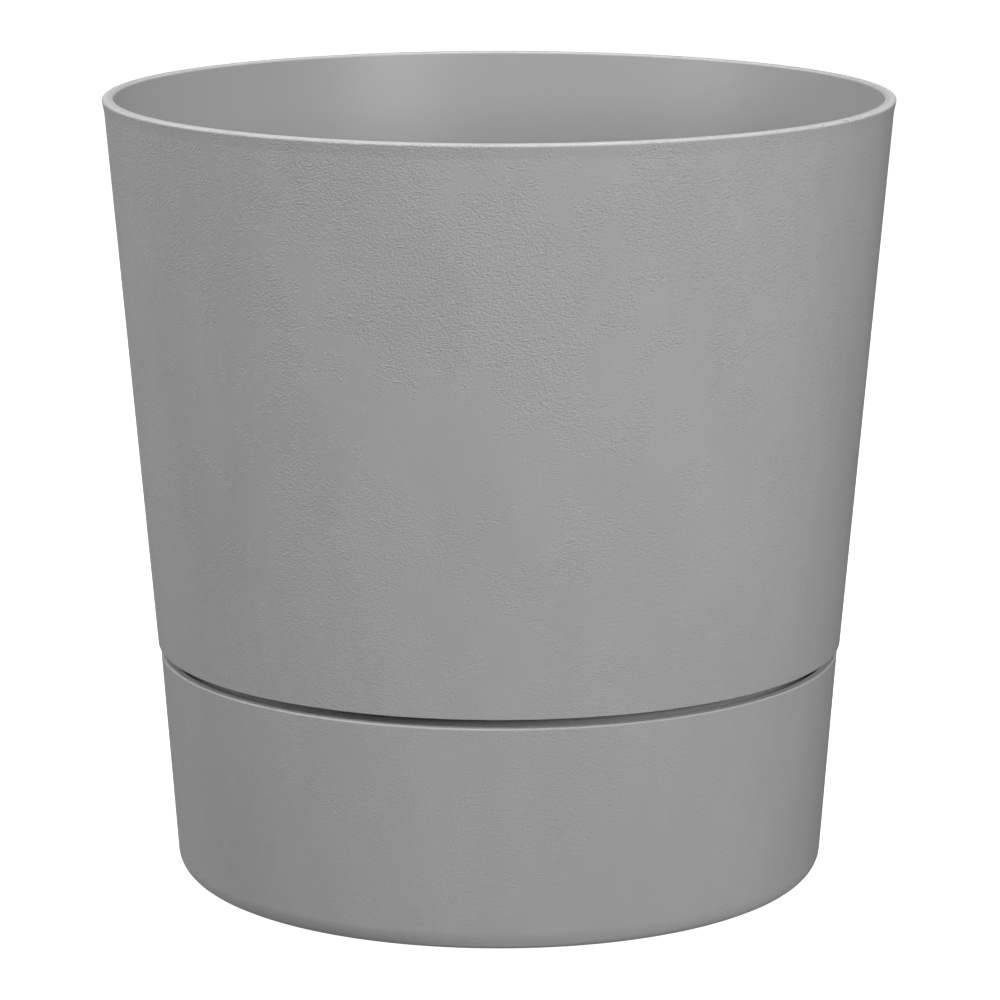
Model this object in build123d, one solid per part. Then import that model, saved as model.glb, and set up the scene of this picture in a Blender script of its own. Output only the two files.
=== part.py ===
from build123d import *
import os
from math import cos, floor, hypot, radians, sin

# A round self-watering planter: a tapered pot that stands in a flush water bowl, and a lift-out
# watering insert of soil grid, wick cups, filler tube and float gauge.
# Millimetres. The planter stands on Z = 0 with its axis on Z, and its front faces -Y.

# ---- pot shell ----
HEIGHT = 350.0  # floor to the top of the rim
WALL_LINE_RADIUS = 174.0  # the outer wall's line, carried up to the rim's height
RIM_FLARE = 0.75  # the rim stands this much outside that line, before its edge is rounded
FLARE_HEIGHT = 6.0
RIM_OUTER_ROUND = 1.2
RIM_INNER_ROUND = 0.8
POT_TAPER = 0.0846  # radius lost for each millimetre down
POT_WALL = 4.5
POT_EDGE_Z = 104.8  # lower edge of the outer wall, above the seam
DRIP_LIP = 2.2  # how far that edge hangs below the flange
DRIP_LIP_WIDTH = 4.0
FLANGE_THICKNESS = 4.0
SKIRT_TOP_RADIUS = 142.5  # the recessed skirt that enters the bowl
SKIRT_FOOT_RADIUS = 141.5
SKIRT_WALL = 3.5

# ---- pot floor ----
POT_FLOOR_Z = 72.0  # its underside, where the pot stands on the bowl's ribs and pillar
POT_FLOOR_TOP = 75.5
CUP_OPENING_RADIUS = 30.0
FILLER_OPENING_RADIUS = 17.5
GAUGE_OPENING_RADIUS = 15.5
DRAIN_RADIUS = 3.0
DRAIN_RINGS = ((96.0, 8), (118.0, 16))  # (ring radius, holes around)
DRAIN_MARGIN = 3.0  # least wall between a drain hole and an opening

# ---- reservoir bowl ----
LIP_Z = 100.7  # top of the bowl, below the seam
LIP_RADIUS = 152.1
BOWL_TAPER = 0.0737
BOWL_WALL = 4.3
BASE_CORNER = 10.4
FOOT_RING_RADIUS = 101.0  # inside of the flat ring that the planter stands on
BASE_RECESS = 2.5
BOWL_FLOOR = 3.5
RIB_COUNT = 6
RIB_THICKNESS = 3.0
BURIED = 2.0  # how far inside the wall's outer face the ribs and the boss end
RIB_START = 134.0
RIB_GUIDE_RADIUS = 142.6  # the ribs step up here and centre the skirt
RIB_GUIDE_TOP = 84.0
OVERFLOW_Z = 57.0
OVERFLOW_BORE = 8.2
OVERFLOW_SEAT_Y = 146.6  # floor of the plug's recess
OVERFLOW_RECESS_RADIUS = 12.3
OVERFLOW_BOSS_RADIUS = 13.0
OVERFLOW_BOSS_Y = 139.0

# ---- support pillar, between the bowl's floor and the pot's ----
PILLAR_RADIUS = 22.0
PILLAR_BORE = 19.0
PILLAR_SLOT_WIDTH = 8.0
PILLAR_SLOT_HEIGHT = 28.0

# ---- overflow plug ----
PLUG_SHANK_RADIUS = 7.9
PLUG_SHANK_END_Y = 134.0
PLUG_FLANGE_RADIUS = 11.8
PLUG_FLANGE = 1.6
SEAL_THICKNESS = 1.0
PLUG_GRIP = (15.0, 3.5, 3.2)  # finger bar: width, outward reach, height

# ---- soil grid, which lies on the ledge above the pot's skirt ----
GRID_Z = POT_EDGE_Z + DRIP_LIP + FLANGE_THICKNESS
GRID_THICKNESS = 3.0
GRID_TOP = GRID_Z + GRID_THICKNESS
GRID_RADIUS = 146.0
GRID_RIM_HEIGHT = 4.0
GRID_RIM_WIDTH = 2.5
GRID_HOLE_RADIUS = 2.6
GRID_HOLE_PITCH = 12.0
GRID_HOLE_MARGIN = 1.2

# ---- wick cups ----
CUP_COUNT = 4
CUP_RING = 80.0  # distance of each cup's axis from the planter's
CUP_TOP_RADIUS = 26.3
CUP_FOOT_RADIUS = 20.0
CUP_WALL = 2.0
CUP_FOOT_Z = 9.0
CUP_FLANGE_RADIUS = 30.0
CUP_FLANGE = 2.0
CUP_SEAT_DEPTH = 1.0  # how far the flange is let into the grid
CUP_SLOTS = 12
CUP_SLOT_WIDTH = 3.0
CUP_SLOT_Z = (17.0, 64.0)
CUP_DRAIN_RADIUS = 2.0
CUP_DRAIN_RING = 10.5

# ---- filler tube and its lid ----
FILLER_XY = (28.0, -109.0)
FILLER_RADIUS = 16.0
FILLER_BORE = 14.0
FILLER_FOOT_Z = 22.0
FILLER_TOP_Z = 318.0
FILLER_NOTCH_WIDTH = 8.0
FILLER_NOTCH_HEIGHT = 10.0
SHOULDER = 3.0
COLLAR_TOP_Z = 327.0
COLLAR_OVERLAP = 16.0  # how far the collar reaches down over the tube
COLLAR_WALL = 2.5
FUNNEL_RADIUS = 23.5
FUNNEL_WALL = 2.2
LID_GAP = 0.2
LID_THICKNESS = 2.4
LID_TAB_WIDTH = 14.0
LID_TAB_REACH = 5.0
HINGE_OFFSET = 27.0  # hinge axis behind the filler's axis, towards the wall
HINGE_Z = 327.6
KNUCKLE_RADIUS = 2.6
KNUCKLE_WIDTH = 9.4
EAR_THICKNESS = 3.2
EAR_CLEARANCE = 0.2
PIN_RADIUS = 1.25
PIN_CLEARANCE = 0.08

# ---- float gauge ----
GAUGE_XY = (-28.0, -109.0)
GAUGE_RADIUS = 10.0
GAUGE_BORE = 8.5
GAUGE_TOP_Z = 333.0
CAGE_RADIUS = 13.5
CAGE_BORE = 12.1
CAGE_FOOT_Z = 9.0
CAGE_SLOTS = 6
CAGE_SLOT_WIDTH = 5.0
CAGE_SLOT_Z = (13.0, 78.0)
CAGE_FLOOR = 1.6
FLOAT_RADIUS = 11.4
FLOAT_Z = (11.0, 37.0)
STEM_RADIUS = 1.5
STEM_TOP_Z = 279.0
MARKER_RADIUS = 7.4
MARKER_HEIGHT = 4.0
SCALE_Z = (274.0, 322.0)
SCALE_THICKNESS = 0.8
SCALE_BARS = (2.0, 26.0, 42.0)  # low, middle and high, above the stem's end at rest
SCALE_BAR_HEIGHT = 1.4
CAP_SKIRT_Z = 323.5
CAP_RADIUS = 11.6
CAP_TOP_Z = 337.0
CLIP_Z = (238.0, 246.0)
CLIP_WALL = 2.6


def pot_radius(z):
    """Outer radius of the pot's wall at a height."""
    return WALL_LINE_RADIUS - POT_TAPER * (HEIGHT - z)


def bowl_radius(z):
    """Outer radius of the bowl's wall at a height."""
    return LIP_RADIUS - BOWL_TAPER * (LIP_Z - z)


def turned(*corners):
    """A solid turned about Z from a closed outline of (radius, height, rounding) corners."""
    outline = FilletPolyline(
        [(r, z) for r, z, _ in corners], radius=[c[2] for c in corners], close=True
    )
    return revolve(Plane.XZ * make_face(outline), axis=Axis.Z)


def ring(inner, outer, low, high, rounding=0.0):
    """A plain turned ring, with its top outer edge rounded if asked."""
    return turned((inner, low, 0), (outer, low, 0), (outer, high, rounding), (inner, high, 0))


def round_bar(radius, low, high):
    """An upright cylinder from low to high."""
    return Pos(0, 0, low) * Cylinder(
        radius, high - low, align=(Align.CENTER, Align.CENTER, Align.MIN)
    )


def bar_along_y(radius, y_from, y_to):
    """A cylinder along Y, centred on Z = 0."""
    return Pos(0, y_from, 0) * Rot(-90, 0, 0) * round_bar(radius, 0, y_to - y_from)


def box_between(low, high):
    """A box from its lowest to its highest corner."""
    middle = [(a + b) / 2 for a, b in zip(low, high)]
    return Pos(*middle) * Box(*[b - a for a, b in zip(low, high)])


def around(count, radius, start=0.0):
    """Points evenly spaced on a circle, the first at the start angle in degrees."""
    angles = [radians(start + 360 * i / count) for i in range(count)]
    return [(radius * cos(a), radius * sin(a)) for a in angles]


def cup_places():
    return around(CUP_COUNT, CUP_RING, 45)


def pot_shell():
    """Tapered pot wall with a rounded, slightly flared rim and a recessed skirt below its ledge."""
    edge_radius = pot_radius(POT_EDGE_Z)
    flange_z = POT_EDGE_Z + DRIP_LIP
    flange_top = flange_z + FLANGE_THICKNESS
    rim_radius = WALL_LINE_RADIUS + RIM_FLARE
    inner_top = WALL_LINE_RADIUS - POT_WALL
    skirt_foot_inner = SKIRT_FOOT_RADIUS - SKIRT_WALL
    return turned(
        (skirt_foot_inner, POT_FLOOR_Z, 0),
        (SKIRT_FOOT_RADIUS, POT_FLOOR_Z, 2.5),
        (SKIRT_TOP_RADIUS, flange_z, 1.2),
        (edge_radius - DRIP_LIP_WIDTH - 0.2, flange_z, 0.8),
        (edge_radius - DRIP_LIP_WIDTH, POT_EDGE_Z, 0.6),
        (edge_radius, POT_EDGE_Z, 0.4),
        (pot_radius(HEIGHT - FLARE_HEIGHT), HEIGHT - FLARE_HEIGHT, 12.0),
        (rim_radius, HEIGHT, RIM_OUTER_ROUND),
        (inner_top, HEIGHT, RIM_INNER_ROUND),
        (pot_radius(flange_top) - POT_WALL, flange_top, 3.0),
        (SKIRT_TOP_RADIUS - SKIRT_WALL, flange_top, 2.5),
        (skirt_foot_inner, POT_FLOOR_TOP, 0),
    )


def pot_floor():
    """Pierced floor plate inside the foot of the pot's skirt."""
    plate = round_bar(SKIRT_FOOT_RADIUS - SKIRT_WALL, POT_FLOOR_Z, POT_FLOOR_TOP)
    openings = [(p, CUP_OPENING_RADIUS) for p in cup_places()]
    openings += [(FILLER_XY, FILLER_OPENING_RADIUS), (GAUGE_XY, GAUGE_OPENING_RADIUS)]
    holes = list(openings)
    for ring_radius, count in DRAIN_RINGS:
        for place in around(count, ring_radius, 180 / count):
            if clear_of(place, openings, DRAIN_RADIUS + DRAIN_MARGIN):
                holes.append((place, DRAIN_RADIUS))
    return plate - [
        Pos(x, y, 0) * round_bar(radius, POT_FLOOR_Z - 1, POT_FLOOR_TOP + 1) for (x, y), radius in holes
    ]


def clear_of(point, circles, margin):
    """True where a point is outside every (centre, radius) circle by the margin."""
    return all(
        hypot(point[0] - x, point[1] - y) > radius + margin for (x, y), radius in circles
    )


def reservoir_bowl():
    """Flush water bowl: rounded base corner, stepped ribs and overflow port."""
    floor_top = BASE_RECESS + BOWL_FLOOR
    bowl = turned(
        (0, BASE_RECESS, 0),
        (FOOT_RING_RADIUS - 3, BASE_RECESS, 0.8),
        (FOOT_RING_RADIUS, 0, 0.8),
        (bowl_radius(0), 0, BASE_CORNER),
        (LIP_RADIUS, LIP_Z, 0.9),
        (LIP_RADIUS - BOWL_WALL, LIP_Z, 0.8),
        (bowl_radius(BOWL_FLOOR) - BOWL_WALL, BOWL_FLOOR, 5.0),
        (FOOT_RING_RADIUS + 2.5, BOWL_FLOOR, 1.0),
        (FOOT_RING_RADIUS - 0.5, floor_top, 1.0),
        (0, floor_top, 0),
    )
    inside = turned(
        (0, BURIED, 0),
        (bowl_radius(BURIED) - BURIED, BURIED, BASE_CORNER - BURIED),
        (bowl_radius(RIB_GUIDE_TOP) - BURIED, RIB_GUIDE_TOP, 0),
        (0, RIB_GUIDE_TOP, 0),
    )
    rib_face = make_face(
        Polyline(
            (RIB_START, BURIED), (RIB_START, POT_FLOOR_Z), (RIB_GUIDE_RADIUS, POT_FLOOR_Z),
            (RIB_GUIDE_RADIUS, RIB_GUIDE_TOP), (LIP_RADIUS, RIB_GUIDE_TOP), (LIP_RADIUS, BURIED),
            close=True,
        )
    )
    rib = extrude(Plane.XZ * rib_face, RIB_THICKNESS / 2, both=True) & inside
    for i in range(RIB_COUNT):
        bowl += Rot(0, 0, 360 / RIB_COUNT * i) * rib
    at_port = Pos(0, 0, OVERFLOW_Z)
    bowl += (at_port * bar_along_y(OVERFLOW_BOSS_RADIUS, OVERFLOW_BOSS_Y, LIP_RADIUS)) & inside
    bowl -= at_port * bar_along_y(OVERFLOW_RECESS_RADIUS, OVERFLOW_SEAT_Y, LIP_RADIUS + 5)
    bowl -= at_port * bar_along_y(OVERFLOW_BORE, OVERFLOW_BOSS_Y - 1, LIP_RADIUS)
    return bowl


def support_pillar():
    """Hollow pillar in the middle of the bowl, slotted at its foot so that water passes."""
    foot = BASE_RECESS + BOWL_FLOOR
    reach = PILLAR_RADIUS + 1
    slot = box_between(
        (-reach, -PILLAR_SLOT_WIDTH / 2, foot - 1),
        (reach, PILLAR_SLOT_WIDTH / 2, foot + PILLAR_SLOT_HEIGHT),
    )
    return ring(PILLAR_BORE, PILLAR_RADIUS, foot, POT_FLOOR_Z) - slot - Rot(0, 0, 90) * slot


def overflow_plug():
    """Push-in plug with a thin flange and a finger bar."""
    flange_y = OVERFLOW_SEAT_Y + SEAL_THICKNESS
    face_y = flange_y + PLUG_FLANGE
    plug = bar_along_y(PLUG_SHANK_RADIUS, PLUG_SHANK_END_Y, flange_y)
    plug = chamfer(plug.edges().group_by(Axis.Y)[0], 1.5)
    plug -= bar_along_y(PLUG_SHANK_RADIUS - 2, PLUG_SHANK_END_Y - 1, flange_y - 2)
    head = bar_along_y(PLUG_FLANGE_RADIUS, flange_y, face_y)
    plug += fillet(head.edges().group_by(Axis.Y)[-1], 0.6)
    width, reach, thickness = PLUG_GRIP
    bar = box_between(
        (-width / 2, face_y - 0.5, -thickness / 2), (width / 2, face_y + reach, thickness / 2)
    )
    plug += fillet(bar.edges().filter_by(Axis.Z).group_by(Axis.Y)[-1], 2.0)
    return Pos(0, 0, OVERFLOW_Z) * plug


def plug_seal():
    """Flat rubber ring under the plug's flange."""
    outer = bar_along_y(PLUG_FLANGE_RADIUS - 0.3, OVERFLOW_SEAT_Y, OVERFLOW_SEAT_Y + SEAL_THICKNESS)
    hole = bar_along_y(PLUG_SHANK_RADIUS, OVERFLOW_SEAT_Y - 1, OVERFLOW_SEAT_Y + SEAL_THICKNESS + 1)
    return Pos(0, 0, OVERFLOW_Z) * (outer - hole)


def soil_grid():
    """Pierced plate with a low rim that keeps the soil above the pot's floor."""
    plate = round_bar(GRID_RADIUS, GRID_Z, GRID_TOP) + ring(
        GRID_RADIUS - GRID_RIM_WIDTH, GRID_RADIUS, GRID_TOP - 1, GRID_TOP + GRID_RIM_HEIGHT, 1.0
    )
    seats = [(p, CUP_FLANGE_RADIUS + 0.4) for p in cup_places()]
    for (x, y), radius in seats:
        plate -= Pos(x, y, 0) * round_bar(radius, GRID_TOP - CUP_SEAT_DEPTH, GRID_TOP + 1)
        plate -= Pos(x, y, 0) * round_bar(CUP_TOP_RADIUS + 0.3, GRID_Z - 1, GRID_TOP)
    tubes = [(FILLER_XY, FILLER_RADIUS + 0.4), (GAUGE_XY, CAGE_RADIUS + 0.4)]
    for (x, y), radius in tubes:
        plate -= Pos(x, y, 0) * round_bar(radius, GRID_Z - 1, GRID_TOP + 1)
    shoulders = [(xy, radius + SHOULDER) for xy, radius in tubes]
    margin = GRID_HOLE_RADIUS + GRID_HOLE_MARGIN
    rings_out = floor((GRID_RADIUS - GRID_RIM_WIDTH - margin) / GRID_HOLE_PITCH)
    places = [(0.0, 0.0)]
    for n in range(1, rings_out + 1):
        places += around(6 * n, GRID_HOLE_PITCH * n)
    return plate - [
        Pos(x, y, 0) * round_bar(GRID_HOLE_RADIUS, GRID_Z - 1, GRID_TOP + 1)
        for x, y in places
        if clear_of((x, y), seats + shoulders, margin)
    ]


def wick_cup(place):
    """Slotted cup whose soil reaches down into the water."""
    flange_z = GRID_TOP - CUP_SEAT_DEPTH
    cup = turned(
        (0, CUP_FOOT_Z, 0),
        (CUP_FOOT_RADIUS, CUP_FOOT_Z, 1.5),
        (CUP_TOP_RADIUS, flange_z, 0),
        (CUP_FLANGE_RADIUS, flange_z, 0),
        (CUP_FLANGE_RADIUS, flange_z + CUP_FLANGE, 0.8),
        (CUP_TOP_RADIUS - CUP_WALL, flange_z + CUP_FLANGE, 1.0),
        (CUP_FOOT_RADIUS - CUP_WALL, CUP_FOOT_Z + CUP_WALL, 1.0),
        (0, CUP_FOOT_Z + CUP_WALL, 0),
    )
    slot_low, slot_high = CUP_SLOT_Z
    slots = [
        Rot(0, 0, 360 / CUP_SLOTS * i) * box_between(
            (0, -CUP_SLOT_WIDTH / 2, slot_low), (CUP_TOP_RADIUS + 2, CUP_SLOT_WIDTH / 2, slot_high)
        )
        for i in range(CUP_SLOTS)
    ]
    foot_holes = [
        Pos(x, y, 0) * round_bar(CUP_DRAIN_RADIUS, CUP_FOOT_Z - 1, CUP_FOOT_Z + CUP_WALL + 1)
        for x, y in [(0, 0)] + around(6, CUP_DRAIN_RING)
    ]
    return Pos(*place, 0) * (cup - slots - foot_holes)


def filler_tube():
    """Watering shaft from under the funnel down into the reservoir, notched at its foot."""
    tube = turned(
        (FILLER_BORE, FILLER_FOOT_Z, 0),
        (FILLER_RADIUS, FILLER_FOOT_Z, 0.5),
        (FILLER_RADIUS, GRID_TOP, 0),
        (FILLER_RADIUS + SHOULDER, GRID_TOP, 0),
        (FILLER_RADIUS + SHOULDER, GRID_TOP + SHOULDER, 1.0),
        (FILLER_RADIUS, GRID_TOP + SHOULDER, 1.0),
        (FILLER_RADIUS, FILLER_TOP_Z, 0),
        (FILLER_BORE, FILLER_TOP_Z, 0),
    )
    reach = FILLER_RADIUS + 1
    notch = box_between(
        (-reach, -FILLER_NOTCH_WIDTH / 2, FILLER_FOOT_Z - 1),
        (reach, FILLER_NOTCH_WIDTH / 2, FILLER_FOOT_Z + FILLER_NOTCH_HEIGHT),
    )
    return Pos(*FILLER_XY, 0) * (tube - notch - Rot(0, 0, 90) * notch)


def filler_collar():
    """Funnel mouth pushed over the filler tube, with the lid's two hinge ears."""
    collar = turned(
        (FILLER_RADIUS, FILLER_TOP_Z - COLLAR_OVERLAP, 0),
        (FILLER_RADIUS + COLLAR_WALL, FILLER_TOP_Z - COLLAR_OVERLAP, 0.8),
        (FILLER_RADIUS + COLLAR_WALL, FILLER_TOP_Z - 2, 2.0),
        (FUNNEL_RADIUS, COLLAR_TOP_Z - 5, 1.5),
        (FUNNEL_RADIUS, COLLAR_TOP_Z, 0.6),
        (FUNNEL_RADIUS - FUNNEL_WALL, COLLAR_TOP_Z, 0.4),
        (FUNNEL_RADIUS - FUNNEL_WALL, COLLAR_TOP_Z - 3.5, 1.0),
        (FILLER_BORE, FILLER_TOP_Z, 0),
        (FILLER_RADIUS, FILLER_TOP_Z, 0),
    )
    inner_x = KNUCKLE_WIDTH / 2 + EAR_CLEARANCE
    ear_radius = KNUCKLE_RADIUS + EAR_CLEARANCE
    for side in (-1, 1):
        ear_x = side * (inner_x + EAR_THICKNESS / 2)
        ear = Pos(ear_x, 0, 0) * lid_axis_bar(ear_radius, EAR_THICKNESS)
        ear += box_between(
            (ear_x - EAR_THICKNESS / 2, -HINGE_OFFSET - ear_radius, COLLAR_TOP_Z - 4.5),
            (ear_x + EAR_THICKNESS / 2, -FUNNEL_RADIUS + 1.5, COLLAR_TOP_Z - 0.2),
        )
        collar += ear
    collar -= lid_axis_bar(PIN_RADIUS, 2 * (inner_x + EAR_THICKNESS) + 2)
    return Pos(*FILLER_XY, 0) * collar


def lid_axis_bar(radius, length):
    """A cylinder on the lid's hinge axis, in the filler's own frame."""
    return Pos(0, -HINGE_OFFSET, HINGE_Z) * Rot(0, 90, 0) * Cylinder(radius, length)


def filler_lid():
    """Flap lid with a locating ring, thumb tab and hinge knuckle."""
    low = COLLAR_TOP_Z + LID_GAP
    high = low + LID_THICKNESS
    lid = turned((0, low, 0), (FUNNEL_RADIUS, low, 0.4), (FUNNEL_RADIUS, high, 1.0), (0, high, 0))
    lid += ring(FUNNEL_RADIUS - 4.2, FUNNEL_RADIUS - 2.7, low - 2.4, low + 0.5)
    lid -= ring(0, FUNNEL_RADIUS - 6.0, high - 0.7, high + 1)
    tab = box_between(
        (-LID_TAB_WIDTH / 2, 0, low + 0.2), (LID_TAB_WIDTH / 2, FUNNEL_RADIUS + LID_TAB_REACH, high)
    )
    tab = fillet(tab.edges().filter_by(Axis.Z).group_by(Axis.Y)[-1], 4.0)
    lid += tab - round_bar(FUNNEL_RADIUS - 1.5, low - 1, high + 1)
    half = KNUCKLE_WIDTH / 2
    lid += lid_axis_bar(KNUCKLE_RADIUS, KNUCKLE_WIDTH)
    lid += box_between((-half, -HINGE_OFFSET, low), (half, -FUNNEL_RADIUS + 2, high))
    lid -= lid_axis_bar(PIN_RADIUS + PIN_CLEARANCE, KNUCKLE_WIDTH + 2)
    return Pos(*FILLER_XY, 0) * lid


def lid_pin():
    """Hinge pin, held in the collar's ears."""
    length = KNUCKLE_WIDTH + 2 * (EAR_THICKNESS + EAR_CLEARANCE) + 1.0
    return Pos(*FILLER_XY, 0) * chamfer(
        lid_axis_bar(PIN_RADIUS, length).edges().filter_by(GeomType.CIRCLE), 0.3
    )


def float_cage():
    """Slotted guide that hangs in the water and carries the gauge tube."""
    cage = turned(
        (0, CAGE_FOOT_Z, 0),
        (CAGE_RADIUS, CAGE_FOOT_Z, 1.0),
        (CAGE_RADIUS, GRID_TOP, 0),
        (CAGE_RADIUS + SHOULDER + 0.5, GRID_TOP, 0),
        (CAGE_RADIUS + SHOULDER + 0.5, GRID_TOP + SHOULDER, 1.0),
        (GAUGE_RADIUS + 3, GRID_TOP + SHOULDER, 1.0),
        (GAUGE_RADIUS + 3, GRID_TOP + 10, 0.8),
        (GAUGE_RADIUS, GRID_TOP + 10, 0),
        (GAUGE_RADIUS, GRID_TOP, 0),
        (GAUGE_BORE + 0.2, GRID_TOP, 0),
        (GAUGE_BORE + 0.2, GRID_TOP - 2, 0),
        (CAGE_BORE, GRID_TOP - 5, 0),
        (CAGE_BORE, CAGE_FOOT_Z + CAGE_FLOOR, 0),
        (0, CAGE_FOOT_Z + CAGE_FLOOR, 0),
    )
    slot_low, slot_high = CAGE_SLOT_Z
    slots = [
        Rot(0, 0, 360 / CAGE_SLOTS * i) * box_between(
            (0, -CAGE_SLOT_WIDTH / 2, slot_low), (CAGE_RADIUS + 1, CAGE_SLOT_WIDTH / 2, slot_high)
        )
        for i in range(CAGE_SLOTS)
    ]
    return Pos(*GAUGE_XY, 0) * (cage - slots - round_bar(3, CAGE_FOOT_Z - 1, CAGE_FOOT_Z + 3))


def gauge_tube():
    """Clear tube that the marker is read through."""
    return Pos(*GAUGE_XY, 0) * ring(GAUGE_BORE, GAUGE_RADIUS, GRID_TOP, GAUGE_TOP_Z)


def gauge_cap():
    """Domed cap that closes the gauge tube."""
    return Pos(*GAUGE_XY, 0) * turned(
        (0, GAUGE_TOP_Z, 0),
        (GAUGE_RADIUS, GAUGE_TOP_Z, 0),
        (GAUGE_RADIUS, CAP_SKIRT_Z, 0),
        (CAP_RADIUS, CAP_SKIRT_Z, 0.5),
        (CAP_RADIUS, CAP_TOP_Z, 3.2),
        (0, CAP_TOP_Z, 0),
    )


def level_scale():
    """Curved strip on the wall side of the gauge, with low, middle and high bars."""
    strip = ring(GAUGE_RADIUS, GAUGE_RADIUS + SCALE_THICKNESS, *SCALE_Z)
    for height in SCALE_BARS:
        low = STEM_TOP_Z + height - SCALE_BAR_HEIGHT / 2
        strip += ring(GAUGE_RADIUS, GAUGE_RADIUS + SCALE_THICKNESS + 0.5, low, low + SCALE_BAR_HEIGHT)
    reach = GAUGE_RADIUS + SCALE_THICKNESS + 1
    wall_side = box_between((-reach, -reach, SCALE_Z[0] - 1), (reach, -4.0, SCALE_Z[1] + 1))
    return Pos(*GAUGE_XY, 0) * (strip & wall_side)


def water_float():
    """Buoyant float with a pocket for the stem."""
    low, high = FLOAT_Z
    body = turned((0, low, 0), (FLOAT_RADIUS, low, 2.0), (FLOAT_RADIUS, high, 2.0), (0, high, 0))
    return Pos(*GAUGE_XY, 0) * (body - round_bar(STEM_RADIUS, high - 10, high + 1))


def float_stem():
    """Thin rod from the float up to the marker."""
    stem = round_bar(STEM_RADIUS, FLOAT_Z[1] - 10, STEM_TOP_Z)
    return Pos(*GAUGE_XY, 0) * stem


def level_marker():
    """Coloured button on the stem's end, read against the scale."""
    return Pos(*GAUGE_XY, 0) * turned(
        (0, STEM_TOP_Z, 0), (MARKER_RADIUS, STEM_TOP_Z, 0.5),
        (MARKER_RADIUS, STEM_TOP_Z + MARKER_HEIGHT, 1.2), (0, STEM_TOP_Z + MARKER_HEIGHT, 0),
    )


def tube_clip():
    """Double ring that braces the filler tube and the gauge tube together."""
    low, high = CLIP_Z
    tubes = ((FILLER_XY, FILLER_RADIUS), (GAUGE_XY, GAUGE_RADIUS))
    bridge_x = (GAUGE_XY[0] + GAUGE_RADIUS + 1, FILLER_XY[0] - FILLER_RADIUS - 1)
    clip = box_between((bridge_x[0], FILLER_XY[1] - 2, low), (bridge_x[1], FILLER_XY[1] + 2, high))
    for (x, y), radius in tubes:
        clip += Pos(x, y, 0) * ring(radius, radius + CLIP_WALL, low, high, 0.6)
    return clip


SUBPARTS = {
    "reservoir_bowl": reservoir_bowl,
    "support_pillar": support_pillar,
    "overflow_plug": overflow_plug,
    "plug_seal": plug_seal,
    "pot_shell": pot_shell,
    "pot_floor": pot_floor,
    "soil_grid": soil_grid,
    "filler_tube": filler_tube,
    "filler_collar": filler_collar,
    "filler_lid": filler_lid,
    "lid_pin": lid_pin,
    "float_cage": float_cage,
    "gauge_tube": gauge_tube,
    "gauge_cap": gauge_cap,
    "level_scale": level_scale,
    "tube_clip": tube_clip,
    "water_float": water_float,
    "float_stem": float_stem,
    "level_marker": level_marker,
}

os.makedirs("parts", exist_ok=True)
for name, make in SUBPARTS.items():
    export_step(make(), f"parts/{name}.step")
for number, place in enumerate(cup_places(), 1):
    export_step(wick_cup(place), f"parts/wick_cup_{number}.step")
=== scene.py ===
"""Self-watering planter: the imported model's looks and a plain studio. Metres unless stated otherwise."""

import math

import bmesh
import bpy
from mathutils import Matrix, Vector, noise


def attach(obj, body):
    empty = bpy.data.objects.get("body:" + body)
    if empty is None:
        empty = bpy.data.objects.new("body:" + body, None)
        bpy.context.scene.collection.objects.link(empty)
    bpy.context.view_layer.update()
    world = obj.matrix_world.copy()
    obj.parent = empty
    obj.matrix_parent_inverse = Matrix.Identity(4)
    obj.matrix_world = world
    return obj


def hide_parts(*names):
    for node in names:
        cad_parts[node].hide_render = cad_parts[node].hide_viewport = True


MM = 0.001

# ---- turned outlines, in millimetres as (radius, height, rounding), the same as the CAD's ----
HEIGHT = 350.0
WALL_LINE_RADIUS = 174.0
POT_TAPER = 0.0846
POT_WALL = 4.5
RIM_RADIUS = WALL_LINE_RADIUS + 0.75
RIM_INNER_RADIUS = WALL_LINE_RADIUS - POT_WALL
FLARE_Z = 344.0
POT_EDGE_Z = 104.8
FLANGE_Z = 107.0
FLANGE_TOP = 111.0
POT_FLOOR_Z = 72.0
POT_FLOOR_TOP = 75.5
LIP_Z = 100.7
LIP_RADIUS = 152.1
BOWL_TAPER = 0.0737
BOWL_WALL = 4.3
BOWL_FLOOR_TOP = 6.0
RIB_COUNT = 6
RIB_THICKNESS = 3.0
RIB_TOP = 84.0
OVERFLOW_Z = 57.0
BURIED = 2.0  # how far inside the bowl's outer faces the ribs end

# ---- nicks in the rim, in millimetres ----
OUTER_NICK_INSET = 0.55  # from the rim's outer radius in to the middle of its rounded corner
INNER_NICK_INSET = 0.4
NICK_DROP = 0.25
NICK_WOBBLE = 0.35  # share of its size by which a nick's surface wanders

# ---- mesh fineness ----
SEGMENTS = 384  # around the two big turned shells
SMALL_SEGMENTS = 96  # around the overflow port
ARC_STEP = math.radians(12)
ROW_HEIGHT = 12.0 * MM  # long runs of an outline are cut into rows no higher than this
SHARP_ANGLE = math.radians(32)

# ---- camera, from the outline's proportions ----
CAMERA_PLACE = (0.0004, -2.038, 0.5913)
CAMERA_PITCH = math.radians(11.755)  # below the horizon
CAMERA_LENS = 167.1

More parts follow.
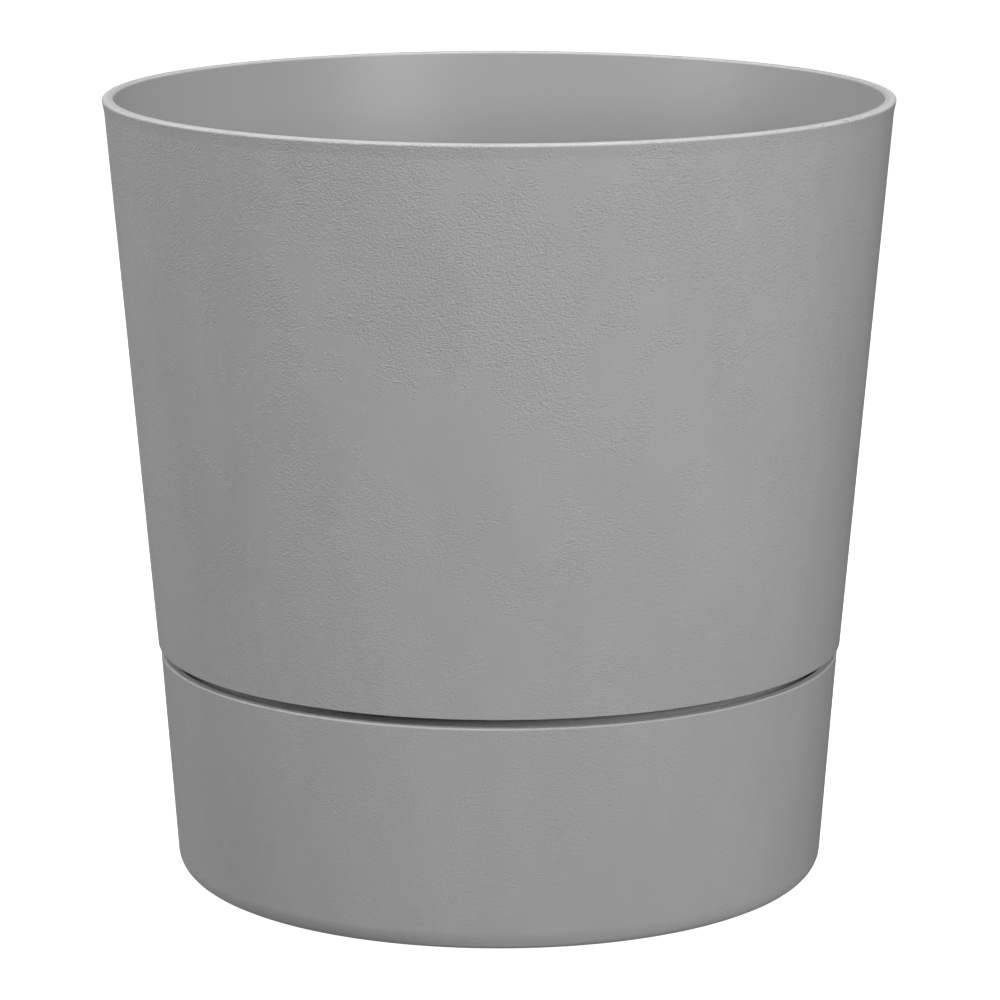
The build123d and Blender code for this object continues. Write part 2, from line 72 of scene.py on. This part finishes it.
# ---- light ----
BACKDROP = 1.0  # what the camera sees past the floor's edge
BOUNCE = 0.2  # glow from straight below, which fades out towards the horizon
LIGHT_AIM = Vector((0.0, 0.0, 0.2))
LIGHTS = (  # name, place, size, watts
    ("key", (1.29, -1.85, 1.07), 1.2, 58.0),
    ("fill", (-2.12, -0.77, 1.07), 1.2, 34.0),
    ("side", (-2.12, 0.77, 1.07), 1.2, 12.0),
    ("high_fill", (-1.09, -1.09, 2.09), 1.2, 7.0),
    ("back", (0.2, 1.55, 2.1), 1.2, 11.0),
    ("overhead", (0.0, 0.0, 2.6), 0.3, 35.0),
    ("floor_glow", (0.0, 0.0, -3.0), 1.2, 30.0),  # what a white floor would throw back up
)

# ---- the shells' finish ----
OUTSIDE_FROM = (-0.003, -0.0015)  # how far in from the wall line the outside finish starts and is full
GRAIN_SCALE = 900.0
GRAIN_DEPTH = 0.00068
SWELL_DEPTH = 0.00012
TOOTH_DEPTH = 0.00001
PATCH_SHIFT = (2.96, 0.88, 4.24)  # lays the grainy patches high up and in the middle of the front
PATCH_LEVELS = (0.42, 0.53)  # the patch noise where the grain starts and where it is full
FAINTEST_GRAIN = 0.08  # share of the grain left between the patches
GRAIN_HEIGHTS = (0.08, 0.3)  # the grain grows from the lower height to the upper
LOW_GRAIN = 0.4  # share of the grain left at the lower height
CLOUD_TONE = 0.25
# painted light: the grainy patches are made paler to offset the shade that their bumps cast
GRAIN_PAINTED_LIGHT = -0.5
OUTSIDE_PALE = 0.349
OUTSIDE_DARK = 0.329
# painted shade: the inside wall is given a darker grey than the outside to stand in for the shade inside
# the pot
INSIDE_SHADE_GREY = 0.305
PAINTED_TOP_LIGHT_GREY = 0.43  # painted light: the top of the rim and of the lip are made paler to stand in for the light from above
PAINTED_LIP_LIGHT_REACH = BOWL_WALL + 1.5  # how far in from the wall line the lip's painted highlight may lie, in millimetres
INSIDE_ROUGHNESS = 0.33
OUTSIDE_ROUGHNESS = 0.53

BEAD_SCALE = 420.0  # the float's foam beads


def pot_radius(z):
    """Outer radius of the pot's wall at a height, in millimetres."""
    return WALL_LINE_RADIUS - POT_TAPER * (HEIGHT - z)


def bowl_radius(z):
    """Outer radius of the bowl's wall at a height, in millimetres."""
    return LIP_RADIUS - BOWL_TAPER * (LIP_Z - z)


# ---------------------------------------------------------------------------------------------
# Meshes
# ---------------------------------------------------------------------------------------------

def corner_points(before, corner, after, rounding):
    """The points that round one corner of an outline, or the corner itself where it is sharp."""
    if rounding == 0:
        return [corner]
    back = (before - corner).normalized()
    on = (after - corner).normalized()
    half = back.angle(on) / 2
    centre = corner + (back + on).normalized() * (rounding / math.sin(half))
    spoke = corner + back * (rounding / math.tan(half)) - centre
    sweep = math.pi - 2 * half
    turn = -1 if back.x * on.y - back.y * on.x > 0 else 1
    steps = max(2, math.ceil(sweep / ARC_STEP))
    points = []
    for i in range(steps + 1):
        angle = turn * sweep * i / steps
        points.append(centre + Vector((
            spoke.x * math.cos(angle) - spoke.y * math.sin(angle),
            spoke.x * math.sin(angle) + spoke.y * math.cos(angle),
        )))
    return points


def rounded_outline(corners):
    """A closed outline in metres, from (radius, height, rounding) corners in millimetres."""
    places = [Vector((r, z)) * MM for r, z, _ in corners]
    outline = []
    for i, (_, _, rounding) in enumerate(corners):
        after = places[(i + 1) % len(places)]
        for point in corner_points(places[i - 1], places[i], after, rounding * MM):
            if outline and point.x + outline[-1].x > 0:
                add_rows(outline, point)
            outline.append(point)
    return outline


def add_rows(outline, point):
    """Points between the outline's last one and the next, so that a long upright run has rows."""
    start = outline[-1].copy()
    rows = math.ceil(abs(point.y - start.y) / ROW_HEIGHT)
    for i in range(1, rows):
        outline.append(start.lerp(point, i / rows))


def turned(corners, segments=SEGMENTS):
    """A closed mesh turned about Z from an outline of corners."""
    mesh = bmesh.new()
    rings = []
    for point in rounded_outline(corners):
        if point.x < 1e-7:
            rings.append([mesh.verts.new((0, 0, point.y))])
            continue
        angles = [2 * math.pi * i / segments for i in range(segments)]
        rings.append([
            mesh.verts.new((point.x * math.cos(angle), point.x * math.sin(angle), point.y))
            for angle in angles
        ])
    for low, high in zip(rings, rings[1:] + rings[:1]):
        if len(low) == 1 and len(high) == 1:
            continue
        for i in range(segments):
            j = (i + 1) % segments
            face = [low[i % len(low)], low[j % len(low)], high[j % len(high)], high[i % len(high)]]
            mesh.faces.new(dict.fromkeys(face))
    bmesh.ops.recalc_face_normals(mesh, faces=mesh.faces)
    return mesh


def bar_along_y(radius, y_from, y_to, z):
    """A cylinder along Y at a height, in millimetres."""
    outline = [(0, y_from, 0), (radius, y_from, 0), (radius, y_to, 0), (0, y_to, 0)]
    bar = turned(outline, SMALL_SEGMENTS)
    bmesh.ops.rotate(bar, verts=bar.verts, matrix=Matrix.Rotation(math.radians(-90), 3, "X"))
    bmesh.ops.translate(bar, verts=bar.verts, vec=(0, 0, z * MM))
    return bar


def prism(corners, thickness):
    """A plate of (radius, height, rounding) corners in the XZ plane, centred on Y = 0."""
    mesh = bmesh.new()
    half = thickness * MM / 2
    outline = rounded_outline(corners)
    near = [mesh.verts.new((p.x, -half, p.y)) for p in outline]
    far = [mesh.verts.new((p.x, half, p.y)) for p in outline]
    mesh.faces.new(near)
    mesh.faces.new(reversed(far))
    for i in range(len(outline)):
        mesh.faces.new((near[i - 1], near[i], far[i], far[i - 1]))
    bmesh.ops.recalc_face_normals(mesh, faces=mesh.faces)
    return mesh


def spun(mesh, angle):
    """The same mesh, turned about Z by an angle in radians."""
    bmesh.ops.rotate(mesh, verts=mesh.verts, matrix=Matrix.Rotation(angle, 3, "Z"))
    return mesh


def as_object(name, mesh):
    """A scene object from a bmesh, which is freed."""
    data = bpy.data.meshes.new(name)
    mesh.to_mesh(data)
    mesh.free()
    made = bpy.data.objects.new(name, data)
    bpy.context.scene.collection.objects.link(made)
    return made


def combine(target, meshes, operation):
    """Joins solids to the target, or cuts them out of it. The solids don't touch each other."""
    gathered = bmesh.new()
    for mesh in meshes:
        part = bpy.data.meshes.new("part")
        mesh.to_mesh(part)
        mesh.free()
        gathered.from_mesh(part)
        bpy.data.meshes.remove(part)
    tool = as_object("tool", gathered)
    modifier = target.modifiers.new("combine", "BOOLEAN")
    modifier.operation = operation
    modifier.object = tool
    modifier.solver = "MANIFOLD"
    bpy.context.view_layer.update()
    evaluated = target.evaluated_get(bpy.context.evaluated_depsgraph_get())
    result = bpy.data.meshes.new_from_object(evaluated)
    old = target.data
    result.materials.clear()
    target.modifiers.clear()
    target.data = result
    bpy.data.meshes.remove(old)
    bpy.data.objects.remove(tool)


def smooth(made):
    """Smooth shading that keeps real edges crisp and flat faces flat."""
    made.data.shade_smooth()
    made.data.set_sharp_from_angle(angle=SHARP_ANGLE)
    weighted = made.modifiers.new("weighted", "WEIGHTED_NORMAL")
    weighted.keep_sharp = True


# ---------------------------------------------------------------------------------------------
# The two big shells
# ---------------------------------------------------------------------------------------------

def rim_nicks():
    """Small chips along the rim's two edges, such as a trimmed moulding has."""
    nicks = []
    outer = RIM_RADIUS - OUTER_NICK_INSET
    inner = RIM_INNER_RADIUS + INNER_NICK_INSET
    places = (  # degrees to the right of the front, edge radius, length, depth
        (51.5, outer, 1.6, 0.75),
        (54.5, inner, 2.2, 0.5),
        (57.0, outer, 2.6, 0.85),
        (60.5, inner, 2.6, 0.7),
        (62.0, outer, 1.3, 0.7),
        (204.0, outer, 1.8, 0.5),
        (150.0, inner, 1.5, 0.5),
    )
    for number, (degrees, radius, length, depth) in enumerate(places):
        nick = bmesh.new()
        bmesh.ops.create_icosphere(nick, subdivisions=3, radius=1.0)
        for vert in nick.verts:
            wobble = 1 + NICK_WOBBLE * noise.noise(vert.co * 1.7 + Vector((number * 5.0, 0, 0)))
            vert.co = Vector((vert.co.x * length, vert.co.y * depth, vert.co.z * depth)) * wobble * MM
            vert.co += Vector((0, -radius * MM, (HEIGHT - NICK_DROP) * MM))
        nicks.append(spun(nick, math.radians(degrees)))
    return nicks


def pot_body():
    """The tapered pot wall with its ledge and recessed skirt, and nicks in its rim."""
    edge = pot_radius(POT_EDGE_Z)
    pot = as_object("pot_body", turned([
        (138.0, POT_FLOOR_Z, 0),  # skirt
        (141.5, POT_FLOOR_Z, 2.5),
        (142.5, FLANGE_Z, 1.2),
        (edge - 4.2, FLANGE_Z, 0.8),  # drip lip
        (edge - 4.0, POT_EDGE_Z, 0.6),
        (edge, POT_EDGE_Z, 0.4),
        (pot_radius(FLARE_Z), FLARE_Z, 12.0),  # wall and rim
        (RIM_RADIUS, HEIGHT, 1.2),
        (RIM_INNER_RADIUS, HEIGHT, 0.8),
        (pot_radius(FLANGE_TOP) - POT_WALL, FLANGE_TOP, 3.0),  # ledge
        (139.0, FLANGE_TOP, 2.5),
        (138.0, POT_FLOOR_TOP, 0),
    ]))
    combine(pot, rim_nicks(), "DIFFERENCE")
    smooth(pot)
    return pot


def bowl_ribs():
    """Six upright ribs that carry the pot and centre its skirt."""
    profile = [
        (134.0, BURIED, 0), (134.0, POT_FLOOR_Z, 0), (142.6, POT_FLOOR_Z, 0), (142.6, RIB_TOP, 0),
        (bowl_radius(RIB_TOP) - BURIED, RIB_TOP, 0), (bowl_radius(BURIED) - BURIED, BURIED, 8.4),
    ]
    return [spun(prism(profile, RIB_THICKNESS), 2 * math.pi * i / RIB_COUNT) for i in range(RIB_COUNT)]


def bowl_body():
    """The flush water bowl, with its ribs and overflow port."""
    bowl = as_object("bowl_body", turned([
        (0, 2.5, 0),  # hollow inside the foot ring
        (98.0, 2.5, 0.8),
        (101.0, 0, 0.8),
        (bowl_radius(0), 0, 10.4),  # base corner
        (LIP_RADIUS, LIP_Z, 0.9),
        (LIP_RADIUS - BOWL_WALL, LIP_Z, 0.8),
        (bowl_radius(3.5) - BOWL_WALL, 3.5, 5.0),  # floor above the foot ring
        (103.5, 3.5, 1.0),
        (100.5, BOWL_FLOOR_TOP, 1.0),
        (0, BOWL_FLOOR_TOP, 0),
    ]))
    boss = bar_along_y(radius=13.0, y_from=139.0, y_to=146.0, z=OVERFLOW_Z)
    plug_seat = bar_along_y(radius=12.3, y_from=146.6, y_to=157.0, z=OVERFLOW_Z)
    port = bar_along_y(radius=8.2, y_from=138.0, y_to=152.0, z=OVERFLOW_Z)
    combine(bowl, bowl_ribs() + [boss], "UNION")
    combine(bowl, [plug_seat], "DIFFERENCE")
    combine(bowl, [port], "DIFFERENCE")
    smooth(bowl)
    return bowl


# ---------------------------------------------------------------------------------------------
# Materials
# ---------------------------------------------------------------------------------------------

class Graph:
    """A Principled material and short calls that add nodes to it."""

    def __init__(self, name):
        self.material = bpy.data.materials.new(name)
        self.material.use_nodes = True
        self.tree = self.material.node_tree
        self.shader = next(n for n in self.tree.nodes if n.type == "BSDF_PRINCIPLED")
        self.place = self.add("ShaderNodeTexCoord").outputs["Object"]

    def put(self, socket, value):
        """Links a socket, or sets its value."""
        if isinstance(value, bpy.types.NodeSocket):
            self.tree.links.new(value, socket)
        else:
            socket.default_value = value

    def add(self, kind, settings=None, **inputs):
        """A node with its settings and its named inputs."""
        made = self.tree.nodes.new(kind)
        for key, value in (settings or {}).items():
            setattr(made, key, value)
        for key, value in inputs.items():
            self.put(made.inputs[key.replace("_", " ")], value)
        return made

    def math(self, operation, *values):
        """The result of a Math node."""
        made = self.add("ShaderNodeMath", {"operation": operation})
        for socket, value in zip(made.inputs, values):
            self.put(socket, value)
        return made.outputs[0]

    def noise(self, scale, detail=2.0, roughness=0.5, distortion=0.0, vector=None):
        """The factor of a noise texture, in the object's own metres unless a vector is given."""
        return self.add("ShaderNodeTexNoise", Vector=vector or self.place, Scale=scale, Detail=detail,
                        Roughness=roughness, Distortion=distortion).outputs[0]

    def cells(self, scale, feature):
        """The distance of a Voronoi texture in the object's own metres."""
        return self.add("ShaderNodeTexVoronoi", {"feature": feature}, Vector=self.place,
                        Scale=scale).outputs["Distance"]

    def stretched(self, scale, turn=(0, 0, 0)):
        """The object's place, turned and stretched."""
        return self.add("ShaderNodeMapping", Vector=self.place, Scale=scale, Rotation=turn).outputs[0]

    def spread(self, value, low, high, to_low=0.0, to_high=1.0):
        """A value's range mapped smoothly to another."""
        made = self.add("ShaderNodeMapRange", {"interpolation_type": "SMOOTHSTEP"}, Value=value)
        for key, number in (("From Min", low), ("From Max", high), ("To Min", to_low), ("To Max", to_high)):
            made.inputs[key].default_value = number
        return made.outputs[0]

    def between(self, factor, first, second):
        """A colour between two, by a factor."""
        made = self.add("ShaderNodeMix", {"data_type": "RGBA"}, Factor=factor)
        self.put(made.inputs["A"], first)
        self.put(made.inputs["B"], second)
        return made.outputs["Result"]

    def bump(self, height, distance, below=None):
        """A bump of a height from 0 to 1 over a distance in metres, on top of another bump."""
        made = self.add("ShaderNodeBump", Height=height, Distance=distance, Strength=1.0)
        if below is not None:
            self.put(made.inputs["Normal"], below)
        return made.outputs[0]

    def finish(self, **inputs):
        """Sets the shader's inputs and returns the material."""
        for key, value in inputs.items():
            self.put(self.shader.inputs[key.replace("_", " ")], value)
        return self.material


def grey(value):
    """A neutral opaque colour."""
    return (value, value, value, 1.0)


def shell_places(g):
    """A point's height, and how far outside the pot's wall line it lies."""
    axes = g.add("ShaderNodeSeparateXYZ", Vector=g.place).outputs
    squares = g.math("ADD", g.math("POWER", axes["X"], 2.0), g.math("POWER", axes["Y"], 2.0))
    wall_line = g.math("MULTIPLY_ADD", axes["Z"], POT_TAPER, (WALL_LINE_RADIUS - POT_TAPER * HEIGHT) * MM)
    return axes["Z"], g.math("SUBTRACT", g.math("SQRT", squares), wall_line)


def grain_strength(g, height, outside):
    """How deep the leathery grain is: outside only, in patches, and growing with height."""
    elsewhere = g.add("ShaderNodeMapping", Vector=g.place, Location=PATCH_SHIFT).outputs[0]
    broad = g.noise(11.0, 2.0, 0.5, 0.5, elsewhere)
    ragged = g.noise(60.0, 5.0, 0.7, 0.3, elsewhere)
    patches = g.math("ADD", g.math("MULTIPLY", broad, 0.45), g.math("MULTIPLY", ragged, 0.55))
    strength = g.math("MULTIPLY", g.spread(patches, *PATCH_LEVELS, FAINTEST_GRAIN, 1.0), outside)
    return g.math("MULTIPLY", strength, g.spread(height, *GRAIN_HEIGHTS, LOW_GRAIN, 1.0))


def painted_top_light(g, height, depth):
    """The top of the rim and of the bowl's lip, where a paler grey is painted in as painted light from
    above.
    """
    under_pot = g.math("LESS_THAN", height, (LIP_Z + 1.0) * MM)
    at_wall = g.math("MULTIPLY", under_pot, g.math("GREATER_THAN", depth, -PAINTED_LIP_LIGHT_REACH * MM))
    lip = g.math("MULTIPLY", g.spread(height, (LIP_Z - 0.7) * MM, (LIP_Z - 0.3) * MM), at_wall)
    return g.math("MAXIMUM", g.spread(height, (HEIGHT - 1.3) * MM, (HEIGHT - 0.5) * MM), lip)


def shell_colour(g, height, depth, outside, strength):
    """Faint clouds and grain painted paler outside against its bump shade, a darker grey inside as painted
    shade, and painted light on the rim's and lip's tops.
    """
    clouds = g.noise(30.0, 3.0, 0.6, 0.0, g.stretched((1.0, 1.0, 0.5)))
    clouded = g.math("MULTIPLY", g.spread(clouds, 0.35, 0.65, CLOUD_TONE, -CLOUD_TONE), outside)
    # painted light: the grain is made paler against its bump shade
    tone = g.math("ADD", clouded, g.math("MULTIPLY", strength, GRAIN_PAINTED_LIGHT))
    shade = g.spread(tone, GRAIN_PAINTED_LIGHT - CLOUD_TONE, CLOUD_TONE)
    # painted shade: a darker grey inside the pot
    colour = g.between(outside, grey(INSIDE_SHADE_GREY), g.between(shade, grey(OUTSIDE_PALE), grey(OUTSIDE_DARK)))
    # painted light: the rim's and lip's tops are made paler
    return g.between(painted_top_light(g, height, depth), colour, grey(PAINTED_TOP_LIGHT_GREY))


def shell_bumps(g, strength, fine):
    """A slow swell in the wall, the leathery grain, and a fine tooth."""
    grain = g.math("SUBTRACT", g.noise(GRAIN_SCALE, 1.0, 0.5, 0.3, g.stretched((1.0, 1.0, 1.5))), 0.5)
    normal = g.bump(g.noise(70.0, 2.0), SWELL_DEPTH)
    normal = g.bump(g.math("MULTIPLY", grain, strength), GRAIN_DEPTH, normal)
    return g.bump(fine, TOOTH_DEPTH, normal)


def concrete_plastic():
    """The shells' grey plastic: patches of leathery grain outside, smooth inside, painted light on the
    rim's and lip's tops, painted shade inside.
    """
    g = Graph("concrete_plastic")
    height, depth = shell_places(g)
    outside = g.spread(depth, *OUTSIDE_FROM)
    strength = grain_strength(g, height, outside)
    fine = g.noise(2600.0, 2.0)
    rough = g.spread(outside, 0.0, 1.0, INSIDE_ROUGHNESS, OUTSIDE_ROUGHNESS)
    rough = g.math("ADD", rough, g.math("MULTIPLY", fine, 0.06))
    colour = shell_colour(g, height, depth, outside, strength)
    normal = shell_bumps(g, strength, fine)
    return g.finish(Base_Color=colour, Roughness=rough, Normal=normal, Specular_IOR_Level=0.25)


def grained_plastic(name, dark, light, rough, grain=1500.0, depth=0.00003):
    """As-moulded plastic: fine spark-eroded grain, faint flow marks and handling scuffs."""
    g = Graph(name)
    flow = g.noise(40.0, 3.0, 0.6, 1.2)
    fine = g.noise(grain, 3.0, 0.6)
    scuffs = g.noise(90.0, 4.0, 0.7, 2.0, g.stretched((1.0, 1.0, 6.0), (0.4, 0.2, 0.9)))
    colour = g.between(g.spread(flow, 0.35, 0.65), dark, light)
    normal = g.bump(flow, 0.0001)
    normal = g.bump(fine, depth, normal)
    shine = g.spread(scuffs, 0.45, 0.7, rough, rough + 0.12)
    shine = g.math("ADD", shine, g.math("MULTIPLY", fine, 0.08))
    return g.finish(Base_Color=colour, Roughness=shine, Normal=normal, Specular_IOR_Level=0.45)


def seal_rubber():
    """Soft black rubber with a faint bloom."""
    g = Graph("seal_rubber")
    bloom = g.noise(220.0, 4.0, 0.65)
    fine = g.noise(3200.0, 2.0)
    colour = g.between(g.spread(bloom, 0.4, 0.7), grey(0.018), grey(0.045))
    rough = g.spread(bloom, 0.3, 0.7, 0.62, 0.82)
    return g.finish(Base_Color=colour, Roughness=rough, Normal=g.bump(fine, 0.00002))


def pin_steel():
    """Stainless wire with drawing lines along its length."""
    g = Graph("pin_steel")
    lines = g.noise(9000.0, 2.0, 0.6, 0.0, g.stretched((0.02, 1.0, 1.0)))
    smudge = g.noise(400.0, 2.0)
    rough = g.math("ADD", g.spread(lines, 0.3, 0.7, 0.22, 0.38), g.math("MULTIPLY", smudge, 0.08))
    colour = g.between(lines, grey(0.52), grey(0.64))
    return g.finish(Base_Color=colour, Metallic=1.0, Roughness=rough, Normal=g.bump(lines, 0.000004))


def clear_tube():
    """Clear extruded tube with faint draw lines."""
    g = Graph("clear_tube")
    lines = g.noise(1400.0, 2.0, 0.5, 0.0, g.stretched((1.0, 1.0, 0.01)))
    rough = g.spread(lines, 0.3, 0.7, 0.02, 0.07)
    return g.finish(Base_Color=(0.93, 0.96, 0.96, 1.0), Roughness=rough, Transmission_Weight=1.0,
                    IOR=1.49, Normal=g.bump(lines, 0.000006))


def scale_white():
    """White printed strip and rod, a little yellowed and dusty in places."""
    g = Graph("scale_white")
    dust = g.noise(180.0, 4.0, 0.65, 0.6)
    colour = g.between(g.spread(dust, 0.45, 0.75), (0.78, 0.78, 0.76, 1.0), (0.66, 0.655, 0.62, 1.0))
    rough = g.spread(dust, 0.35, 0.7, 0.34, 0.5)
    fine = g.noise(2400.0, 2.0)
    return g.finish(Base_Color=colour, Roughness=rough, Normal=g.bump(fine, 0.00001))


def float_foam():
    """Orange closed-cell foam: fused beads with thin dark joints."""
    g = Graph("float_foam")
    beads = g.cells(BEAD_SCALE, "SMOOTH_F1")
    seam = g.spread(g.cells(BEAD_SCALE, "DISTANCE_TO_EDGE"), 0.0, 0.09)
    tone = g.noise(260.0, 2.0)
    bead = g.between(tone, (0.86, 0.36, 0.06, 1.0), (0.7, 0.26, 0.035, 1.0))
    colour = g.between(seam, (0.42, 0.15, 0.02, 1.0), bead)
    normal = g.bump(g.math("SUBTRACT", 1.0, beads), 0.0005)
    normal = g.bump(seam, 0.00012, normal)
    rough = g.spread(tone, 0.3, 0.7, 0.6, 0.75)
    return g.finish(Base_Color=colour, Roughness=rough, Normal=normal)


def marker_red():
    """Glossy red moulded button with faint polishing swirl."""
    g = Graph("marker_red")
    swirl = g.noise(700.0, 3.0, 0.6, 2.0)
    colour = g.between(g.noise(120.0), (0.66, 0.03, 0.02, 1.0), (0.54, 0.022, 0.016, 1.0))
    rough = g.spread(swirl, 0.3, 0.7, 0.12, 0.24)
    return g.finish(Base_Color=colour, Roughness=rough, Normal=g.bump(swirl, 0.000008))


def dress(node, material):
    """Gives a CAD node its material."""
    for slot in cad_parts[node].material_slots:
        slot.material = material


# ---------------------------------------------------------------------------------------------
# Studio
# ---------------------------------------------------------------------------------------------

def studio_floor():
    """A wide, plain white floor as pale as the backdrop, which neither lights nor shades the planter."""
    mesh = bmesh.new()
    bmesh.ops.create_grid(mesh, x_segments=8, y_segments=8, size=12.0)
    floor = as_object("studio_floor", mesh)
    g = Graph("studio_white")
    colour = g.between(g.noise(3.0), grey(0.38), grey(0.4))
    floor.data.materials.append(g.finish(Base_Color=colour, Roughness=0.9, Specular_IOR_Level=0.1,
                                         Emission_Color=grey(1.0), Emission_Strength=1.0))
    floor.visible_diffuse = False
    floor.visible_glossy = False
    floor.visible_shadow = False


def area_light(name, place, size, power):
    """A soft square light that faces the middle of the planter."""
    data = bpy.data.lights.new(name, "AREA")
    data.size = size
    data.energy = power
    light = bpy.data.objects.new(name, data)
    light.location = place
    light.rotation_euler = (LIGHT_AIM - Vector(place)).to_track_quat("-Z", "Y").to_euler()
    bpy.context.scene.collection.objects.link(light)


def studio_world():
    """A world that the camera sees as a white backdrop, and that lights the planter weakly from below."""
    world = bpy.data.worlds.new("studio")
    world.use_nodes = True
    tree = world.node_tree
    background = tree.nodes["Background"]
    background.inputs["Color"].default_value = grey(1.0)
    direction = tree.nodes.new("ShaderNodeTexCoord").outputs["Generated"]
    axes = tree.nodes.new("ShaderNodeSeparateXYZ")
    tree.links.new(direction, axes.inputs[0])
    below = tree.nodes.new("ShaderNodeMapRange")
    tree.links.new(axes.outputs["Z"], below.inputs["Value"])
    below.inputs["From Min"].default_value = 0.0
    below.inputs["From Max"].default_value = -1.0
    below.inputs["To Max"].default_value = BOUNCE
    seen = tree.nodes.new("ShaderNodeMix")
    tree.links.new(tree.nodes.new("ShaderNodeLightPath").outputs["Is Camera Ray"], seen.inputs["Factor"])
    tree.links.new(below.outputs[0], seen.inputs["A"])
    seen.inputs["B"].default_value = BACKDROP
    tree.links.new(seen.outputs[0], background.inputs["Strength"])
    bpy.context.scene.world = world


def studio():
    """The white backdrop, soft lights around the planter, a small one overhead and one from below."""
    studio_world()
    for name, place, size, power in LIGHTS:
        area_light(name, place, size, power)
    bpy.context.scene.view_settings.view_transform = "Standard"


def camera():
    """The camera at the object's front, looking a little down."""
    data = bpy.data.cameras.new("camera")
    data.lens = CAMERA_LENS
    data.sensor_width = 36.0
    data.clip_end = 50.0
    made = bpy.data.objects.new("camera", data)
    made.location = CAMERA_PLACE
    made.rotation_euler = (math.radians(90) - CAMERA_PITCH, 0, 0)
    bpy.context.scene.collection.objects.link(made)
    bpy.context.scene.camera = made


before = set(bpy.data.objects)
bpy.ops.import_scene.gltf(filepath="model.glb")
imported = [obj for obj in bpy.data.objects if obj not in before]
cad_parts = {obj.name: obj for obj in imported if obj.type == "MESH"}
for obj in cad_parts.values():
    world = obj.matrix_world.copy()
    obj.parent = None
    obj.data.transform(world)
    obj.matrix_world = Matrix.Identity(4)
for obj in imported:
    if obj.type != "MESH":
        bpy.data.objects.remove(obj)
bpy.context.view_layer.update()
camera()
studio()
studio_floor()

shell_plastic = concrete_plastic()
pot = pot_body()
pot.data.materials.append(shell_plastic)
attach(pot, "pot")
bowl = bowl_body()
bowl.data.materials.append(shell_plastic)
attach(bowl, "reservoir")
for piece, cad_node in ((pot, "pot_shell"), (bowl, "reservoir_bowl")):
    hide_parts(cad_node)

insert_black = grained_plastic("insert_black", grey(0.028), grey(0.04), 0.36)
lid_grey = grained_plastic("lid_grey", grey(0.14), grey(0.175), 0.32, 2000.0, 0.00002)
white = scale_white()
finishes = {
    "pot_floor": shell_plastic,
    "support_pillar": shell_plastic,
    "overflow_plug": grained_plastic("plug_grey", grey(0.2), grey(0.235), 0.46, 1100.0, 0.00005),
    "plug_seal": seal_rubber(),
    "lid_pin": pin_steel(),
    "gauge_tube": clear_tube(),
    "level_scale": white,
    "float_stem": white,
    "water_float": float_foam(),
    "level_marker": marker_red(),
    "filler_lid": lid_grey,
    "gauge_cap": lid_grey,
}
for cad_node in ("soil_grid", "wick_cup_1", "wick_cup_2", "wick_cup_3", "wick_cup_4", "filler_tube",
                 "filler_collar", "float_cage", "tube_clip"):
    finishes[cad_node] = insert_black
for cad_node, finish in finishes.items():
    dress(cad_node, finish)
